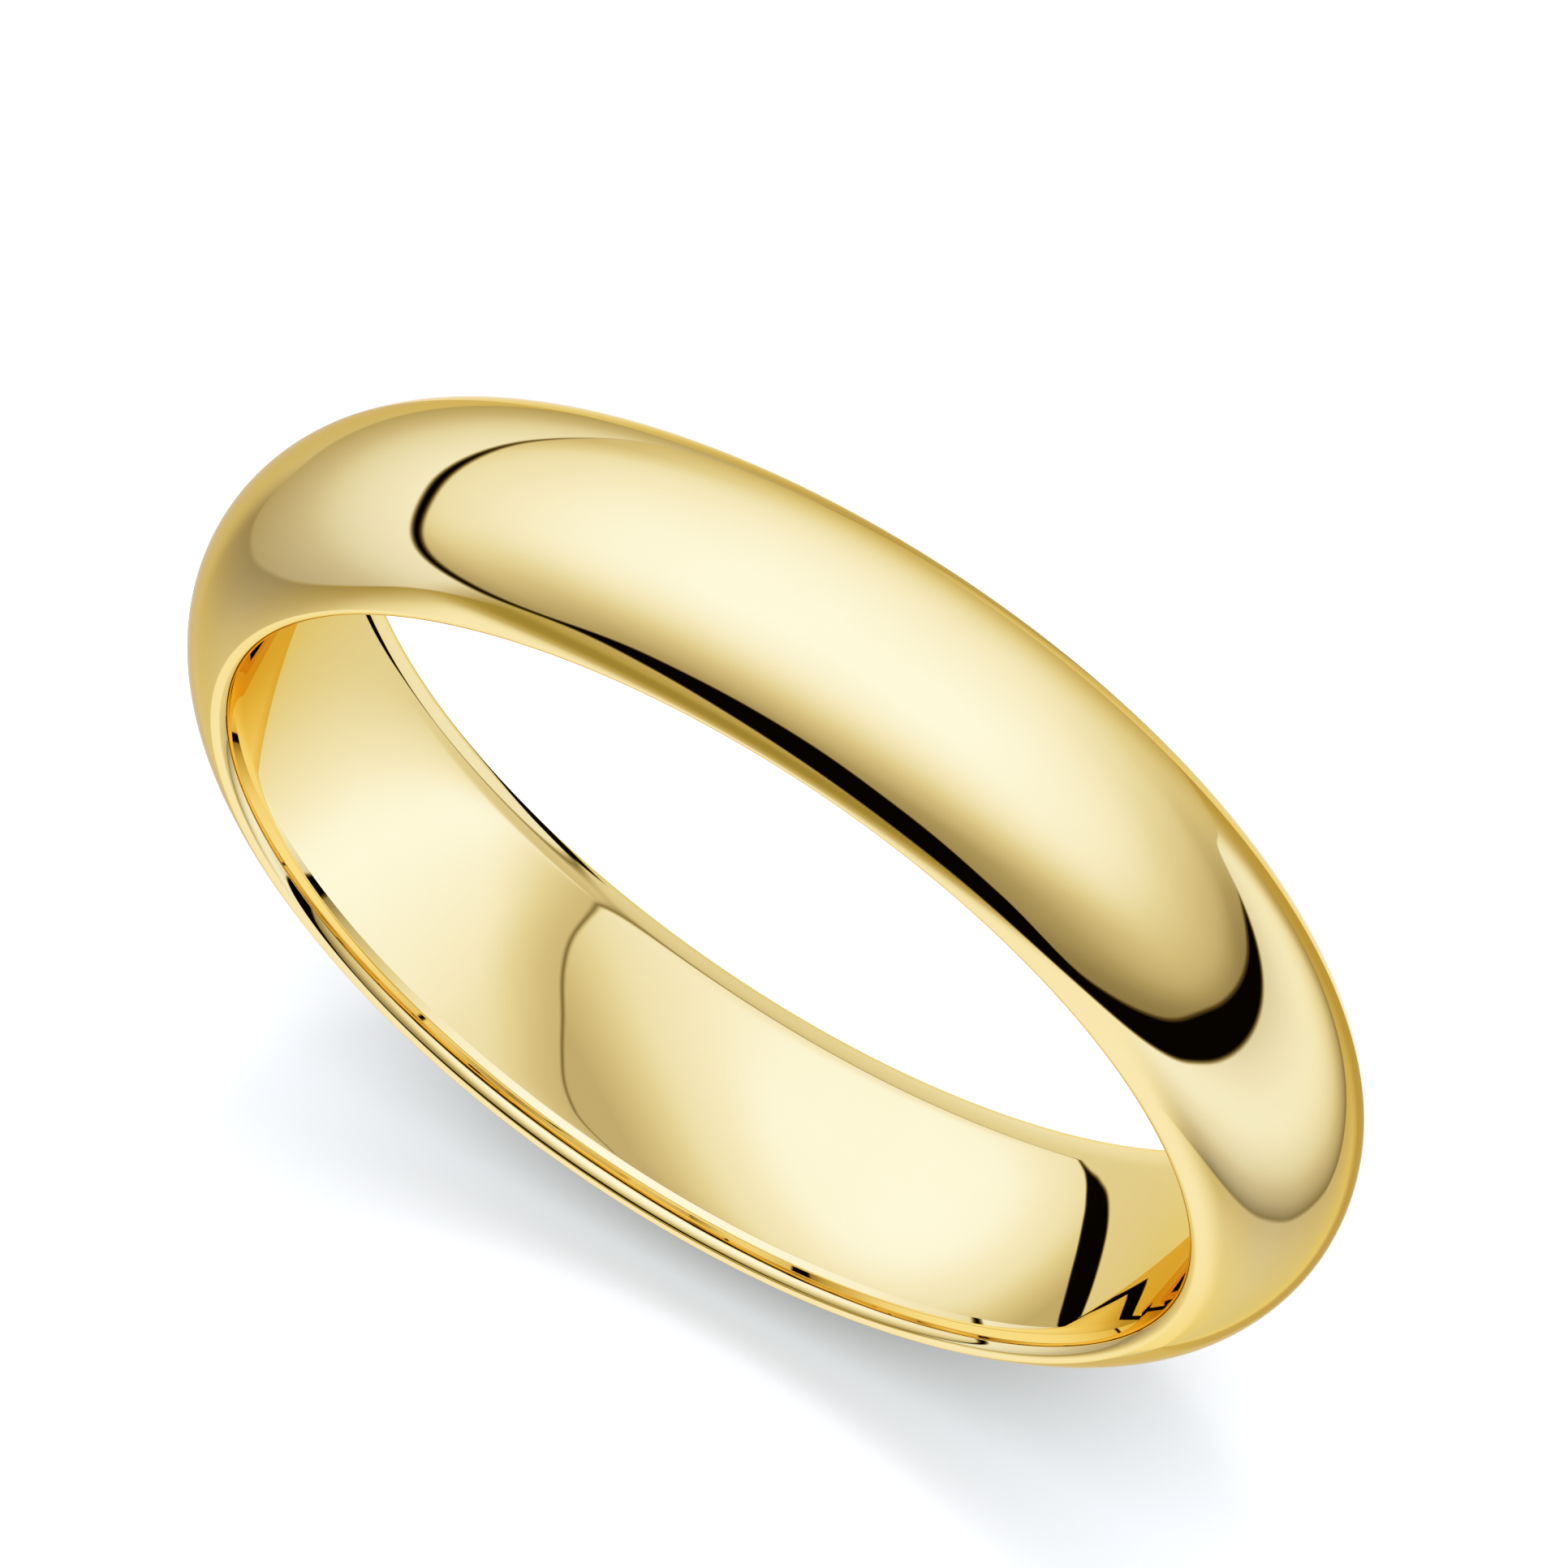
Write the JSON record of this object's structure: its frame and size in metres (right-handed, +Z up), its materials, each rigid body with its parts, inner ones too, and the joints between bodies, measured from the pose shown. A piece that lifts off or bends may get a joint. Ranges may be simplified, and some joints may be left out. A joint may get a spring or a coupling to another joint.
{
  "type": "wedding band",
  "caption": "Plain polished yellow gold finger ring with a D-shaped section, a domed outside and a softly eased bore.",
  "frame": {"origin": "centre of the bore, midway along the band's width", "axes": "+Y along the finger axis, +Z up with the ring standing on its outer face, +X across"},
  "size_m": [0.0192, 0.004, 0.0192],
  "materials": {
    "polished_gold": "polished"
  },
  "bodies": {
    "root": {"band": "polished_gold"}
  },
  "joints": []
}
